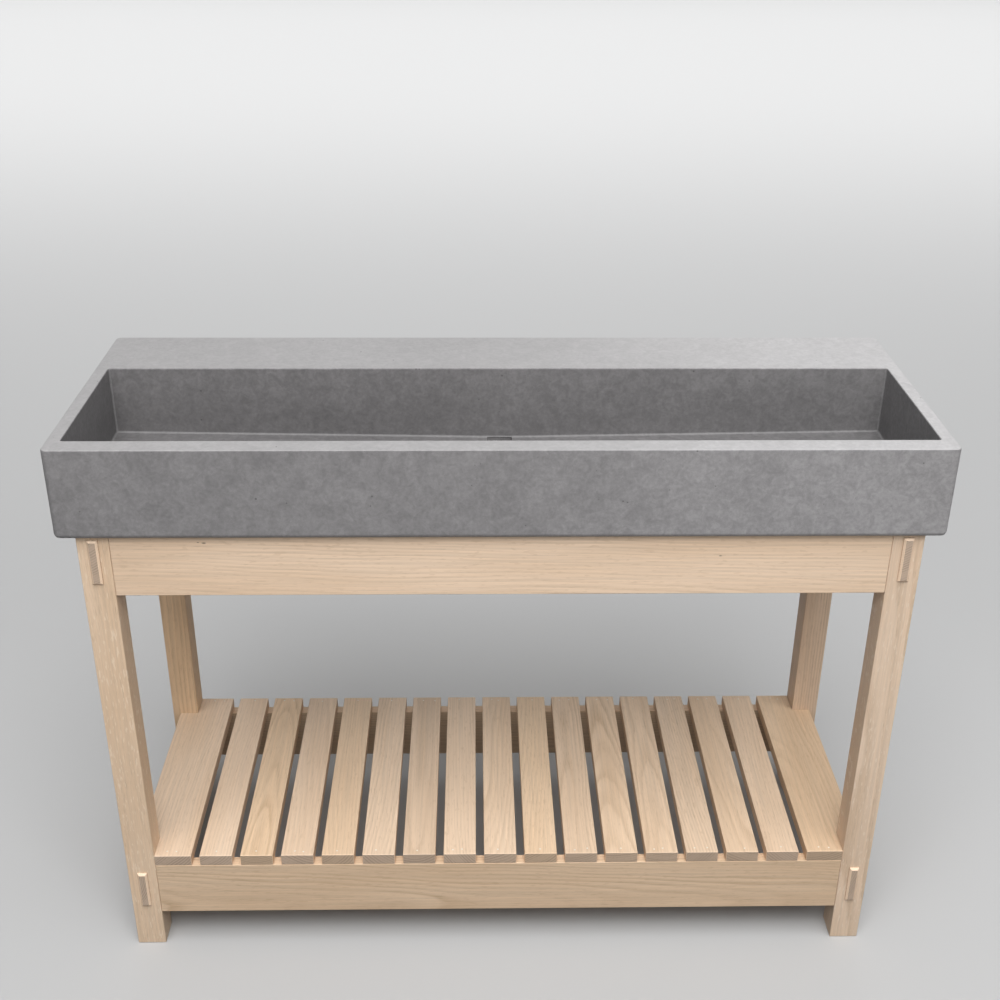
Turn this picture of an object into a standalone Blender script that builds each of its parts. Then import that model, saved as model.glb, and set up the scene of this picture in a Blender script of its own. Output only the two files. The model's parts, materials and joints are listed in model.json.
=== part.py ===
"""A bathroom vanity: a concrete trough sink on an open white-oak stand with a slatted shelf.

Metres, +Z up, +X to the viewer's right, the front towards -Y. The origin is on the floor, under the
middle of the whole piece. The stand is a mortise-and-tenon frame: four square legs, two lower rails
and two aprons flush with the legs' faces, and side rails whose tenons pass right through the legs.
"""

from math import floor, tau

import bmesh
import bpy
from mathutils import Matrix, Vector

# Stand, outside sizes over the legs
STAND_WIDTH = 1.1684
STAND_DEPTH = 0.4191
STAND_HEIGHT = 0.7493

# Lumber
LEG_SIZE = 0.04445
RAIL_THICKNESS = 0.01905
APRON_HEIGHT = 0.09525
LOWER_RAIL_HEIGHT = 0.09525
LOWER_RAIL_BOTTOM = 0.066675
SLAT_WIDTH = 0.0508
SLAT_THICKNESS = 0.01905
SLAT_GAP = 0.0127
END_SLAT_LEAST_TONGUE = 0.032
EASED_EDGE = 0.001
SHARPEST_LEFT = 0.8  # radians; a corner that turns more than this is eased

# Side-rail tenons, which pass through the legs and stand proud of the front ones
TENON_THICKNESS = 0.015
TENON_PROUD = 0.0045
TENON_CHAMFER = 0.003
UPPER_TENON_TOP_SHOULDER = 0.00635
UPPER_TENON_BOTTOM_SHOULDER = 0.01905
LOWER_TENON_SHOULDER = 0.0143

# Blind stub tenons of the long boards, which stop short of the side-rail tenons
STUB_THICKNESS = 0.0095
STUB_SHOULDER = 0.0127
STUB_WALL = 0.003

# Concrete sink
SINK_HEIGHT = 0.13335
SINK_SIDE_OVERHANG = 0.0254
SINK_FRONT_OVERHANG = 0.0127
SINK_SIDE_WALL = 0.01905
SINK_FRONT_WALL = 0.03175
SINK_DECK = 0.1365
SINK_CORNER_RADIUS = 0.003
BASIN_FILLET = 0.004
FLOOR_UNDER_CHANNEL = 0.014
CHANNEL_WIDTH = 0.0381
CHANNEL_DEPTH = 0.005
RAMP_FALL = 0.009

# The hollow under the sink's deck, open below, which leaves room for a tap's shank and hoses
DECK_SLAB = 0.0286
BASIN_BACK_WALL = 0.0254
SINK_REAR_WALL = 0.0254

# Drain fitting, sized outwards from its tailpiece
TAILPIECE_RADIUS = 0.015875
TAILPIECE_WALL = 0.0014
TAILPIECE_LENGTH = 0.1524
TAILPIECE_ENTRY = 0.020
DRAIN_BARREL_WALL = 0.0029
DRAIN_BARREL_TAIL = 0.008
DRAIN_HOLE_CLEARANCE = 0.0032
DRAIN_FLANGE_LIP = 0.0095
DRAIN_FLANGE_THICKNESS = 0.0025
DRAIN_RECESS_CLEARANCE = 0.003
STRAINER_THICKNESS = 0.0018
STRAINER_DISH = 0.0012
STRAINER_HOLE_RADIUS = 0.0025
STRAINER_INNER_HOLES = 4
STRAINER_OUTER_HOLES = 8
STRAINER_INNER_SHARE = 0.33  # of the bore's radius, and so on below
STRAINER_OUTER_SHARE = 0.7
STRAINER_FLAT_SHARE = 0.8
GASKET_LIP = 0.0088
GASKET_THICKNESS = 0.004
WASHER_LIP = 0.0073
WASHER_THICKNESS = 0.0015
LOCKNUT_WALL = 0.0094
LOCKNUT_HEIGHT = 0.010
LOCKNUT_BEVEL = 0.001

# Between two pieces that touch
FIT_GAP = 0.0003
ROUND_STEPS = 32
BIG = 0.02

# Places that follow from the sizes
SINK_WIDTH = STAND_WIDTH + 2 * SINK_SIDE_OVERHANG
SINK_DEPTH = STAND_DEPTH + SINK_FRONT_OVERHANG
BACK = SINK_DEPTH / 2
FRONT = BACK - STAND_DEPTH
LEG_CENTRE = (STAND_WIDTH - LEG_SIZE) / 2
LEG_INNER = STAND_WIDTH / 2 - LEG_SIZE
APRON_BOTTOM = STAND_HEIGHT - APRON_HEIGHT
LOWER_RAIL_TOP = LOWER_RAIL_BOTTOM + LOWER_RAIL_HEIGHT
SHELF_EDGE = LEG_CENTRE + RAIL_THICKNESS / 2
SINK_BOTTOM = STAND_HEIGHT + FIT_GAP
SINK_TOP = SINK_BOTTOM + SINK_HEIGHT
CHANNEL_FLOOR = SINK_BOTTOM + FLOOR_UNDER_CHANNEL
RAMP_LOW = CHANNEL_FLOOR + CHANNEL_DEPTH
RAMP_HIGH = RAMP_LOW + RAMP_FALL
BASIN_FRONT = -SINK_DEPTH / 2 + SINK_FRONT_WALL
BASIN_BACK = SINK_DEPTH / 2 - SINK_DECK
BASIN_HALF_WIDTH = SINK_WIDTH / 2 - SINK_SIDE_WALL
DRAIN_Y = (BASIN_FRONT + BASIN_BACK) / 2
BARREL_BORE = TAILPIECE_RADIUS + FIT_GAP
BARREL_RADIUS = BARREL_BORE + DRAIN_BARREL_WALL
DRAIN_HOLE_RADIUS = BARREL_RADIUS + DRAIN_HOLE_CLEARANCE
FLANGE_RADIUS = DRAIN_HOLE_RADIUS + DRAIN_FLANGE_LIP


def clear_scene():
    for old in list(bpy.data.objects):
        bpy.data.objects.remove(old, do_unlink=True)


def new_collection(name):
    collection = bpy.data.collections.new(name)
    bpy.context.scene.collection.children.link(collection)
    return collection


def new_material(name, colour, roughness, metallic=0.0):
    material = bpy.data.materials.new(name)
    material.use_nodes = True
    shader = material.node_tree.nodes["Principled BSDF"]
    shader.inputs["Base Color"].default_value = (*colour, 1.0)
    shader.inputs["Roughness"].default_value = roughness
    shader.inputs["Metallic"].default_value = metallic
    return material


clear_scene()
PIECES = new_collection("vanity_cabinet")
CUTTERS = new_collection("cutters")
ORIGIN = bpy.data.objects.new("vanity_origin", None)
PIECES.objects.link(ORIGIN)

LEG_OAK = new_material("leg_oak", (0.61, 0.46, 0.31), 0.6)
RAIL_OAK = new_material("rail_oak", (0.66, 0.50, 0.34), 0.6)
SLAT_OAK = new_material("slat_oak", (0.64, 0.47, 0.31), 0.6)
CONCRETE = new_material("concrete", (0.27, 0.265, 0.262), 0.72)
DRAIN_STEEL = new_material("drain_steel", (0.62, 0.62, 0.61), 0.28, 1.0)
GASKET_RUBBER = new_material("gasket_rubber", (0.03, 0.03, 0.03), 0.8)
TAIL_CHROME = new_material("tailpiece_chrome", (0.75, 0.75, 0.76), 0.12, 1.0)


def add_piece(name, mesh, material, place):
    piece = bpy.data.objects.new(name, mesh)
    piece.location = place
    piece.parent = ORIGIN
    mesh.materials.append(material)
    PIECES.objects.link(piece)
    return piece


def add_helper(name, mesh, place=(0, 0, 0)):
    helper = bpy.data.objects.new(name, mesh)
    helper.location = place
    helper.hide_render = True
    helper.display_type = "WIRE"
    CUTTERS.objects.link(helper)
    return helper


def add_cube(bm, low, high):
    """A box between two corners; returns its vertices."""
    low, high = Vector(low), Vector(high)
    verts = bmesh.ops.create_cube(bm, size=1.0)["verts"]
    bmesh.ops.scale(bm, vec=high - low, verts=verts)
    bmesh.ops.translate(bm, vec=(low + high) / 2, verts=verts)
    return verts


def mesh_of(name, bm):
    mesh = bpy.data.meshes.new(name)
    bm.to_mesh(mesh)
    bm.free()
    return mesh


def box_helper(name, boxes):
    """One helper made of several boxes that don't touch, each a (low, high) pair."""
    bm = bmesh.new()
    for low, high in boxes:
        add_cube(bm, low, high)
    return add_helper(name, mesh_of(name, bm))


def ease_edges(piece, width=EASED_EDGE, segments=1):
    bevel = piece.modifiers.new("eased_edges", "BEVEL")
    bevel.width = width
    bevel.segments = segments
    bevel.limit_method = "ANGLE"
    bevel.angle_limit = SHARPEST_LEFT


def combine(piece, other, operation):
    step = piece.modifiers.new(other.name, "BOOLEAN")
    step.operation = operation
    step.object = other
    step.solver = "EXACT"


def add_board(name, low, high, material):
    """A straight board with eased edges, its origin at its middle."""
    low, high = Vector(low), Vector(high)
    middle = (low + high) / 2
    bm = bmesh.new()
    add_cube(bm, low - middle, high - middle)
    board = add_piece(name, mesh_of(name, bm), material, middle)
    ease_edges(board)
    return board


def grown(low, high, by):
    return Vector(low) - Vector(by), Vector(high) + Vector(by)


# The tenons, each a (low, high) box, named once and used by both the rail and the leg


def side_tenon(side, bottom, top):
    """The bar that runs through a side rail and both of its legs: proud in front, flush behind."""
    x = side * LEG_CENTRE
    low = (x - TENON_THICKNESS / 2, FRONT - TENON_PROUD, bottom)
    high = (x + TENON_THICKNESS / 2, BACK, top)
    return Vector(low), Vector(high)


def stub_reach():
    """How far a long board's stub tenon enters the leg."""
    return (LEG_SIZE - TENON_THICKNESS) / 2 - FIT_GAP - STUB_WALL - FIT_GAP


def stub_bar(front_face, bottom, top):
    """The bar that runs through a long board and ends in its two stub tenons."""
    half = LEG_INNER + stub_reach()
    y = front_face + RAIL_THICKNESS / 2
    low = (-half, y - STUB_THICKNESS / 2, bottom + STUB_SHOULDER)
    high = (half, y + STUB_THICKNESS / 2, top - STUB_SHOULDER)
    return Vector(low), Vector(high)


UPPER_TENON = (APRON_BOTTOM + UPPER_TENON_BOTTOM_SHOULDER, STAND_HEIGHT - UPPER_TENON_TOP_SHOULDER)
LOWER_TENON = (LOWER_RAIL_BOTTOM + LOWER_TENON_SHOULDER, LOWER_RAIL_TOP - LOWER_TENON_SHOULDER)
FRONT_BOARD = FRONT
REAR_BOARD = BACK - RAIL_THICKNESS


def add_leg(name, side, front):
    """A square leg: two through mortises for the side rails, two blind ones for the long boards."""
    middle_x = side * LEG_CENTRE
    leg_front = FRONT if front else BACK - LEG_SIZE
    low = (middle_x - LEG_SIZE / 2, leg_front, 0)
    high = (middle_x + LEG_SIZE / 2, leg_front + LEG_SIZE, STAND_HEIGHT)
    leg = add_board(name, low, high, LEG_OAK)

    mortises = []
    for bottom, top in (UPPER_TENON, LOWER_TENON):
        bar_low, bar_high = grown(*side_tenon(side, bottom, top), (FIT_GAP, BIG, FIT_GAP))
        mortises.append((bar_low, bar_high))
    board_face = FRONT_BOARD if front else REAR_BOARD
    for bottom, top in ((APRON_BOTTOM, STAND_HEIGHT), (LOWER_RAIL_BOTTOM, LOWER_RAIL_TOP)):
        bar_low, bar_high = grown(*stub_bar(board_face, bottom, top), (FIT_GAP, FIT_GAP, FIT_GAP))
        inner, outer = LEG_INNER - BIG, bar_high.x
        ends = sorted((side * inner, side * outer))
        mortises.append(((ends[0], bar_low.y, bar_low.z), (ends[1], bar_high.y, bar_high.z)))
    combine(leg, box_helper(name + "_mortises", mortises), "DIFFERENCE")


def add_long_board(name, face, bottom, top):
    """An apron or lower rail between two legs, with a stub tenon at each end."""
    half = LEG_INNER - FIT_GAP
    board = add_board(name, (-half, face, bottom), (half, face + RAIL_THICKNESS, top), RAIL_OAK)
    combine(board, box_helper(name + "_stubs", [stub_bar(face, bottom, top)]), "UNION")


def add_side_rail(name, side, bottom, top, tenon):
    """A side rail between a front and a rear leg, whose tenon bar passes through both."""
    x = side * LEG_CENTRE
    low = (x - RAIL_THICKNESS / 2, FRONT + LEG_SIZE + FIT_GAP, bottom)
    high = (x + RAIL_THICKNESS / 2, BACK - LEG_SIZE - FIT_GAP, top)
    rail = add_board(name, low, high, RAIL_OAK)

    bar_low, bar_high = side_tenon(side, *tenon)
    bm = bmesh.new()
    add_cube(bm, bar_low, bar_high)
    proud_end = []
    for edge in bm.edges:
        if all(abs(v.co.y - bar_low.y) < EASED_EDGE for v in edge.verts):
            proud_end.append(edge)
    bmesh.ops.bevel(bm, geom=proud_end, offset=TENON_CHAMFER, segments=1, affect="EDGES")
    combine(rail, add_helper(name + "_tenons", mesh_of(name, bm)), "UNION")


def slat_middles():
    """The narrow slats' places: as many as leave each end slat a fair tongue between the legs."""
    pitch = SLAT_WIDTH + SLAT_GAP
    room = 2 * (LEG_INNER - END_SLAT_LEAST_TONGUE) - SLAT_GAP
    count = floor(room / pitch)
    return [(index - (count - 1) / 2) * pitch for index in range(count)]


def add_shelf():
    bottom = LOWER_RAIL_TOP + FIT_GAP
    top = bottom + SLAT_THICKNESS
    middles = slat_middles()
    for number, middle in enumerate(middles, start=1):
        low = (middle - SLAT_WIDTH / 2, FRONT, bottom)
        high = (middle + SLAT_WIDTH / 2, BACK, top)
        add_board(f"shelf_slat_{number:02d}", low, high, SLAT_OAK)

    # Each end slat reaches out over a side rail, and is notched round the front and rear legs.
    inner = middles[-1] + SLAT_WIDTH / 2 + SLAT_GAP
    for name, side in (("end_slat_left", -1), ("end_slat_right", 1)):
        ends = sorted((side * inner, side * SHELF_EDGE))
        slat = add_board(name, (ends[0], FRONT, bottom), (ends[1], BACK, top), SLAT_OAK)
        notch_ends = sorted((side * (LEG_INNER - FIT_GAP), side * (SHELF_EDGE + BIG)))
        notch = LEG_SIZE + FIT_GAP
        notches = [
            ((notch_ends[0], FRONT - BIG, bottom - BIG), (notch_ends[1], FRONT + notch, top + BIG)),
            ((notch_ends[0], BACK - notch, bottom - BIG), (notch_ends[1], BACK + BIG, top + BIG)),
        ]
        combine(slat, box_helper(name + "_notches", notches), "DIFFERENCE")


def basin_cutter():
    """The basin's hollow: a floor that falls from both ends to a channel across the middle."""
    half_channel = CHANNEL_WIDTH / 2
    outline = [
        (-BASIN_HALF_WIDTH, SINK_TOP + BIG),
        (-BASIN_HALF_WIDTH, RAMP_HIGH),
        (-half_channel, RAMP_LOW),
        (-half_channel, CHANNEL_FLOOR),
        (half_channel, CHANNEL_FLOOR),
        (half_channel, RAMP_LOW),
        (BASIN_HALF_WIDTH, RAMP_HIGH),
        (BASIN_HALF_WIDTH, SINK_TOP + BIG),
    ]
    bm = bmesh.new()
    face = bm.faces.new([bm.verts.new((x, BASIN_FRONT, z)) for x, z in outline])
    grown_faces = bmesh.ops.extrude_face_region(bm, geom=[face])["geom"]
    far = [item for item in grown_faces if isinstance(item, bmesh.types.BMVert)]
    bmesh.ops.translate(bm, vec=(0, BASIN_BACK - BASIN_FRONT, 0), verts=far)
    bmesh.ops.recalc_face_normals(bm, faces=bm.faces)
    # Cove the corners between walls, and between walls and ramps, but not the channel's edges.
    coved = []
    for edge in bm.edges:
        heights = [v.co.z for v in edge.verts]
        reach = max(abs(v.co.x) for v in edge.verts)
        upright = max(heights) > SINK_TOP and min(heights) < SINK_TOP
        round_a_ramp = min(heights) > RAMP_LOW - FIT_GAP and max(heights) < RAMP_HIGH + FIT_GAP
        if upright or (round_a_ramp and reach > half_channel + FIT_GAP):
            coved.append(edge)
    bmesh.ops.bevel(bm, geom=coved, offset=BASIN_FILLET, segments=2, profile=0.5, affect="EDGES")
    return add_helper("basin_cutter", mesh_of("basin_cutter", bm))


def round_cutter(name, radius, bottom, top):
    bm = bmesh.new()
    bmesh.ops.create_cone(
        bm, cap_ends=True, segments=ROUND_STEPS, radius1=radius, radius2=radius, depth=top - bottom
    )
    return add_helper(name, mesh_of(name, bm), (0, DRAIN_Y, (bottom + top) / 2))


def add_sink():
    low = Vector((-SINK_WIDTH / 2, -SINK_DEPTH / 2, SINK_BOTTOM))
    high = Vector((SINK_WIDTH / 2, SINK_DEPTH / 2, SINK_TOP))
    middle = (low + high) / 2
    bm = bmesh.new()
    add_cube(bm, low - middle, high - middle)
    sink = add_piece("concrete_sink", mesh_of("concrete_sink", bm), CONCRETE, middle)
    ease_edges(sink, SINK_CORNER_RADIUS, 2)
    combine(sink, basin_cutter(), "DIFFERENCE")

    recess_radius = FLANGE_RADIUS + DRAIN_RECESS_CLEARANCE
    recess_top = RAMP_LOW + RAMP_FALL
    recess = round_cutter("drain_recess_cutter", recess_radius, CHANNEL_FLOOR, recess_top)
    combine(sink, recess, "DIFFERENCE")
    hole_bottom, hole_top = SINK_BOTTOM - BIG, CHANNEL_FLOOR + BIG / 2
    hole = round_cutter("drain_hole_cutter", DRAIN_HOLE_RADIUS, hole_bottom, hole_top)
    combine(sink, hole, "DIFFERENCE")

    hollow_low = (-BASIN_HALF_WIDTH, BASIN_BACK + BASIN_BACK_WALL, SINK_BOTTOM - BIG)
    hollow_high = (BASIN_HALF_WIDTH, SINK_DEPTH / 2 - SINK_REAR_WALL, SINK_TOP - DECK_SLAB)
    combine(sink, box_helper("deck_hollow_cutter", [(hollow_low, hollow_high)]), "DIFFERENCE")


def add_turned(name, profile, material, height):
    """A closed (radius, z) outline turned about the drain's axis; height is its origin's place."""
    mesh = bpy.data.meshes.new(name)
    points = [(radius, 0, z - height) for radius, z in profile]
    closed = profile[0][0] > 0 or profile[-1][0] > 0
    edges = [(i, i + 1) for i in range(len(points) - 1)]
    if closed:
        edges.append((len(points) - 1, 0))
    mesh.from_pydata(points, edges, [])
    piece = add_piece(name, mesh, material, (0, DRAIN_Y, height))
    screw = piece.modifiers.new("turned", "SCREW")
    screw.axis = "Z"
    screw.steps = ROUND_STEPS
    screw.render_steps = ROUND_STEPS
    screw.use_merge_vertices = True
    screw.merge_threshold = 0.00001
    return piece


def add_ring(name, inner, outer, bottom, top, material):
    ring = [(outer, top), (outer, bottom), (inner, bottom), (inner, top)]
    return add_turned(name, ring, material, (bottom + top) / 2)


DRAIN_FLANGE_BOTTOM = CHANNEL_FLOOR + FIT_GAP
GASKET_TOP = SINK_BOTTOM - FIT_GAP
WASHER_TOP = GASKET_TOP - GASKET_THICKNESS - FIT_GAP
LOCKNUT_TOP = WASHER_TOP - WASHER_THICKNESS - FIT_GAP
BARREL_BOTTOM = LOCKNUT_TOP - LOCKNUT_HEIGHT - DRAIN_BARREL_TAIL


def add_drain_body():
    """The flanged barrel with its dished strainer, turned in one piece and then pierced."""
    flange_top = DRAIN_FLANGE_BOTTOM + DRAIN_FLANGE_THICKNESS
    dish_top = flange_top - STRAINER_DISH
    profile = [
        (0, dish_top),
        (BARREL_BORE * STRAINER_FLAT_SHARE, dish_top),
        (BARREL_RADIUS, flange_top),
        (FLANGE_RADIUS - DRAIN_FLANGE_THICKNESS / 2, flange_top),
        (FLANGE_RADIUS, DRAIN_FLANGE_BOTTOM + DRAIN_FLANGE_THICKNESS / 2),
        (FLANGE_RADIUS, DRAIN_FLANGE_BOTTOM),
        (BARREL_RADIUS, DRAIN_FLANGE_BOTTOM),
        (BARREL_RADIUS, BARREL_BOTTOM),
        (BARREL_BORE, BARREL_BOTTOM),
        (BARREL_BORE, dish_top - STRAINER_THICKNESS),
        (0, dish_top - STRAINER_THICKNESS),
    ]
    body = add_turned("drain_body", profile, DRAIN_STEEL, flange_top)
    bm = bmesh.new()
    rings = (
        (BARREL_BORE * STRAINER_INNER_SHARE, STRAINER_INNER_HOLES),
        (BARREL_BORE * STRAINER_OUTER_SHARE, STRAINER_OUTER_HOLES),
    )
    for ring_radius, count in rings:
        for index in range(count):
            turn = Matrix.Rotation(tau * index / count, 4, "Z")
            place = turn @ Matrix.Translation((ring_radius, 0, 0))
            bmesh.ops.create_cone(
                bm, cap_ends=True, segments=8, depth=BIG / 2, matrix=place,
                radius1=STRAINER_HOLE_RADIUS, radius2=STRAINER_HOLE_RADIUS,
            )
    holes = add_helper("strainer_holes", mesh_of("strainer_holes", bm), (0, DRAIN_Y, dish_top))
    combine(body, holes, "DIFFERENCE")


def add_locknut():
    """A hexagonal nut on the barrel, with its corners eased."""
    nut_radius = BARREL_RADIUS + LOCKNUT_WALL
    bm = bmesh.new()
    bmesh.ops.create_cone(
        bm, cap_ends=True, segments=6, depth=LOCKNUT_HEIGHT, radius1=nut_radius, radius2=nut_radius
    )
    middle = LOCKNUT_TOP - LOCKNUT_HEIGHT / 2
    place = (0, DRAIN_Y, middle)
    nut = add_piece("drain_locknut", mesh_of("drain_locknut", bm), DRAIN_STEEL, place)
    ease_edges(nut, LOCKNUT_BEVEL)
    bore = round_cutter(
        "locknut_bore", BARREL_RADIUS + FIT_GAP, middle - LOCKNUT_HEIGHT, middle + LOCKNUT_HEIGHT
    )
    combine(nut, bore, "DIFFERENCE")


def add_drain():
    add_drain_body()
    add_locknut()
    clear_of_barrel = BARREL_RADIUS + FIT_GAP
    gasket_bottom = GASKET_TOP - GASKET_THICKNESS
    gasket_radius = DRAIN_HOLE_RADIUS + GASKET_LIP
    ring = (clear_of_barrel, gasket_radius, gasket_bottom, GASKET_TOP)
    add_ring("drain_gasket", *ring, GASKET_RUBBER)
    washer_bottom = WASHER_TOP - WASHER_THICKNESS
    washer_radius = DRAIN_HOLE_RADIUS + WASHER_LIP
    ring = (clear_of_barrel, washer_radius, washer_bottom, WASHER_TOP)
    add_ring("drain_washer", *ring, DRAIN_STEEL)
    tail_top = BARREL_BOTTOM + TAILPIECE_ENTRY
    tail_bottom = tail_top - TAILPIECE_LENGTH
    tail_bore = TAILPIECE_RADIUS - TAILPIECE_WALL
    add_ring("drain_tailpiece", tail_bore, TAILPIECE_RADIUS, tail_bottom, tail_top, TAIL_CHROME)


for leg_name, leg_side, leg_front in (
    ("leg_front_left", -1, True),
    ("leg_front_right", 1, True),
    ("leg_rear_left", -1, False),
    ("leg_rear_right", 1, False),
):
    add_leg(leg_name, leg_side, leg_front)

add_long_board("front_apron", FRONT_BOARD, APRON_BOTTOM, STAND_HEIGHT)
add_long_board("rear_apron", REAR_BOARD, APRON_BOTTOM, STAND_HEIGHT)
add_long_board("front_lower_rail", FRONT_BOARD, LOWER_RAIL_BOTTOM, LOWER_RAIL_TOP)
add_long_board("rear_lower_rail", REAR_BOARD, LOWER_RAIL_BOTTOM, LOWER_RAIL_TOP)

for side_name, side_sign in (("left", -1), ("right", 1)):
    for level, bottom, top, tenon in (
        ("upper", APRON_BOTTOM, STAND_HEIGHT, UPPER_TENON),
        ("lower", LOWER_RAIL_BOTTOM, LOWER_RAIL_TOP, LOWER_TENON),
    ):
        add_side_rail(f"{level}_side_rail_{side_name}", side_sign, bottom, top, tenon)

add_shelf()
add_sink()
add_drain()
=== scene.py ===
# %% [markdown]
# # A concrete trough sink on a slatted oak washstand
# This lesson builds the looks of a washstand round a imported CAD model, which already fixes every
# size. The stand is raw white oak with through tenons, the sink is one grey casting, and a small
# metal drain hangs under it. The frame is loaded first, and its box is kept, because nothing that
# is modelled here may grow past it.

# %% Load the frame
import json
import math
import random

import bmesh
import bpy
from mathutils import Euler, Matrix, Vector

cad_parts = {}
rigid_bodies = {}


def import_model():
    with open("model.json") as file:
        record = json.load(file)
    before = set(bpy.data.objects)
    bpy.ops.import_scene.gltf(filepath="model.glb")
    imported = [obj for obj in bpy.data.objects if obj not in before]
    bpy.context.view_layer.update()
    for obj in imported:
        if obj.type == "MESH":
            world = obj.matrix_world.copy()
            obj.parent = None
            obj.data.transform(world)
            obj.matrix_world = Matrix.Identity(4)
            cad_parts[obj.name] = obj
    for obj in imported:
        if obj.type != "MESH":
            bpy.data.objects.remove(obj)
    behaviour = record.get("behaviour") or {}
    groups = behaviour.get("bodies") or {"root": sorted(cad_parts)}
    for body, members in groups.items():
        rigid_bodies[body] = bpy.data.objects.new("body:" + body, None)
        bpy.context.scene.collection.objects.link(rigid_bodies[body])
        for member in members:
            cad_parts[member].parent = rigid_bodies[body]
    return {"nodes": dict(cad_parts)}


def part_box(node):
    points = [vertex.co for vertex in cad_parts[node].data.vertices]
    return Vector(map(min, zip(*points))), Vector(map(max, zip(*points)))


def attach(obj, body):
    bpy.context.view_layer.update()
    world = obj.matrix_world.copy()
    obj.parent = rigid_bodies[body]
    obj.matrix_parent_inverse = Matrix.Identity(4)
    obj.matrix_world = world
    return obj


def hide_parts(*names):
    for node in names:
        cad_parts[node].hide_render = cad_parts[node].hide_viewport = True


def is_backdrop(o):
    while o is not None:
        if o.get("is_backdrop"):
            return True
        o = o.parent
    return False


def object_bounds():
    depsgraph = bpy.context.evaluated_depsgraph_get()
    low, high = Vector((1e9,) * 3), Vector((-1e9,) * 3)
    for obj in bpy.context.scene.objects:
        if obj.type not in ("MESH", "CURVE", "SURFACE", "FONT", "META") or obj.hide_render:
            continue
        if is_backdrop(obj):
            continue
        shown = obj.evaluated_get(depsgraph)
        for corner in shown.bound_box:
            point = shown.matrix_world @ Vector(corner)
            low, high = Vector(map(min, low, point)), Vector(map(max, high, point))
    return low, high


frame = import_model()
cad_low, cad_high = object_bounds()
print("frame nodes:", len(frame["nodes"]), "size:", [round(x, 4) for x in cad_high - cad_low])

# %% [markdown]
# ## Camera
# The camera stands a little left of the middle and looks down at the washstand from standing eye
# height, so that the inside of the sink and the tops of the slats both show. It is placed by its
# own axes: a yaw, a tilt and a very small roll are turned into one rotation matrix, which is easier
# to reason about than three Euler angles.

# %% Place the camera
CAMERA_PLACE = Vector((-0.0395, -1.8024, 1.6167))
CAMERA_YAW, CAMERA_TILT, CAMERA_ROLL = (math.radians(a) for a in (1.25, 26.97, -0.43))

camera_data = bpy.data.cameras.new("studio_camera")
camera_data.lens = 47.74
camera_data.sensor_width = 36.0
camera = bpy.data.objects.new("studio_camera", camera_data)
bpy.context.scene.collection.objects.link(camera)
bpy.context.scene.camera = camera

forward = Vector((
    math.sin(CAMERA_YAW) * math.cos(CAMERA_TILT),
    math.cos(CAMERA_YAW) * math.cos(CAMERA_TILT),
    -math.sin(CAMERA_TILT),
))
level_right = Vector((math.cos(CAMERA_YAW), -math.sin(CAMERA_YAW), 0))
level_down = forward.cross(level_right)
right = math.cos(CAMERA_ROLL) * level_right + math.sin(CAMERA_ROLL) * level_down
down = math.cos(CAMERA_ROLL) * level_down - math.sin(CAMERA_ROLL) * level_right
camera_axes = Matrix((right, -down, -forward)).transposed()
camera.matrix_world = Matrix.Translation(CAMERA_PLACE) @ camera_axes.to_4x4()
print("camera looks along", [round(x, 3) for x in forward])

# %% [markdown]
# ## Studio
# The washstand stands on one plain pale floor that runs out past the view, under soft light. Wide
# suns from a little in front and a little behind stand for a ceiling full of office lights: they
# brighten whatever faces up and leave the space under the sink in shade. A faint sun low at the
# rear stands for a pale wall there. A panel near the camera, a low one and one at the right fill
# the front. Wide lights are used because small lamps would give hard shadows, which hide the grain.
# A last panel, high up and far behind, only keeps the distant floor pale.

# %% Floor
bpy.ops.object.select_all(action="DESELECT")
FLOOR_SIZE, UNDER_FEET = 60, 0.0002
bpy.ops.mesh.primitive_plane_add(size=FLOOR_SIZE, location=(0, 0, cad_low.z - UNDER_FEET))
floor = bpy.context.object
floor.name = "studio_floor"
floor.visible_diffuse = False  # it throws no light back up, so shaded wood stays dark
floor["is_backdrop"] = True

floor_finish = bpy.data.materials.new("pale_floor")
floor_finish.use_nodes = True
floor_shader = floor_finish.node_tree.nodes["Principled BSDF"]
floor_shader.inputs["Base Color"].default_value = (0.50, 0.50, 0.50, 1)
floor_shader.inputs["Roughness"].default_value = 0.9
floor.data.materials.append(floor_finish)
print("floor laid")


# %% Lights and sky
def add_light(name, kind, place, target, strength):
    """A lamp at a place that faces a point."""
    data = bpy.data.lights.new(name, kind)
    data.energy = strength
    lamp = bpy.data.objects.new(name, data)
    lamp.location = place
    lamp.visible_camera = False
    lamp.rotation_euler = (Vector(target) - Vector(place)).to_track_quat("-Z", "Y").to_euler()
    bpy.context.scene.collection.objects.link(lamp)
    return data


SUN_WIDTH = math.radians(48)


def add_sun(name, place, strength):
    add_light(name, "SUN", place, (0, 0, 0), strength).angle = SUN_WIDTH


def add_panel(name, place, target, width, height, watts):
    data = add_light(name, "AREA", place, target, watts)
    data.shape, data.size, data.size_y = "RECTANGLE", width, height
    return data


add_sun("ceiling_front", (0, -0.42, 1), 2.35)
add_sun("ceiling_back", (0, 0.30, 1), 0.32)
add_sun("rear_wall_glow", (0, 1, 0.12), 0.8)
add_panel("near_panel", (0, -1.5, 2.0), (0, 0, 0.6), 1.6, 0.8, 17)
add_panel("low_panel", (0, -3.0, 0.7), (0, 0, 0.5), 2.4, 1.0, 11)
add_panel("right_panel", (2.6, -0.9, 1.9), (0, 0, 0.6), 1.6, 1.6, 10)
far_panel = add_panel("far_floor_panel", (0, 9.5, 4.5), (0, 9.5, 0), 18, 11, 460)
far_panel.spread = math.radians(100)

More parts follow.
